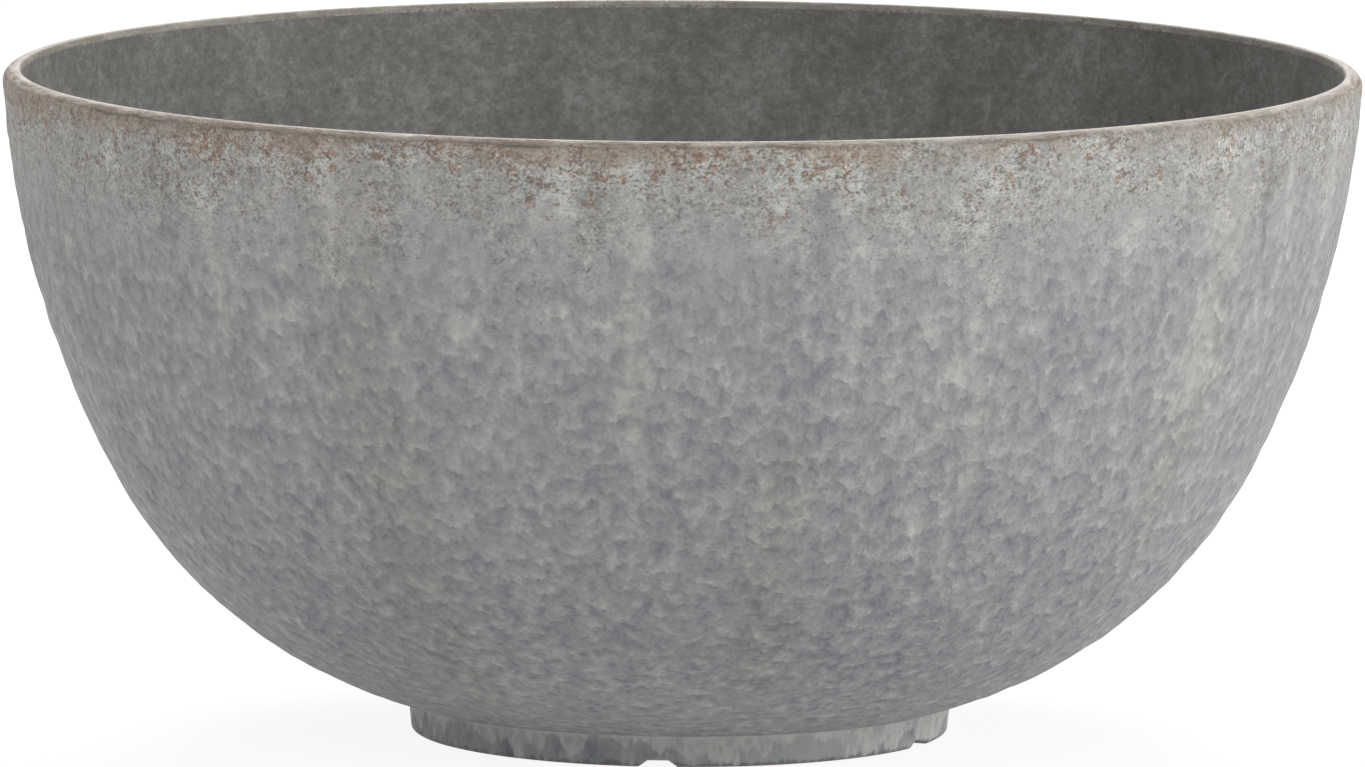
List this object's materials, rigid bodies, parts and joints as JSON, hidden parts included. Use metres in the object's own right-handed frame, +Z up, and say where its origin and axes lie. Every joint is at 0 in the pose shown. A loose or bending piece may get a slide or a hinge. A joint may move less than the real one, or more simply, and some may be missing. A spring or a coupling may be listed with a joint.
{
  "type": "bowl planter",
  "caption": "Round stone-look bowl planter on a low notched foot, with a lift-out perforated plate on wick cups over a water reservoir and a sealed drain plug.",
  "frame": {"origin": "centre of the foot ring's underside, on the surface that the bowl stands on", "axes": "+Z up along the bowl's axis, -Y towards the viewer of the picture, +X to the right"},
  "size_m": [0.31, 0.31, 0.152],
  "materials": {
    "stone_composite": "matt weathered grey wash with rust-brown flecks at the lip",
    "insert_plastic": "fine moulded texture",
    "plug_plastic": "satin moulded",
    "seal_rubber": "matt"
  },
  "bodies": {
    "bowl": {"bowl_shell": "stone_composite"},
    "insert": {"drainage_plate": "insert_plastic", "wick_cup_1": "insert_plastic", "wick_cup_2": "insert_plastic", "wick_cup_3": "insert_plastic", "wick_cup_4": "insert_plastic"},
    "plug": {"drain_plug": "plug_plastic", "plug_seal": "seal_rubber"}
  },
  "joints": [
    {"name": "plate_lift", "type": "slide", "parent": "bowl", "child": "insert", "axis": [0, 0, 1], "range_m": [0, 0.15]},
    {"name": "plug_pull", "type": "slide", "parent": "bowl", "child": "plug", "axis": [0, 0, 1], "range_m": [0, 0.014]}
  ]
}
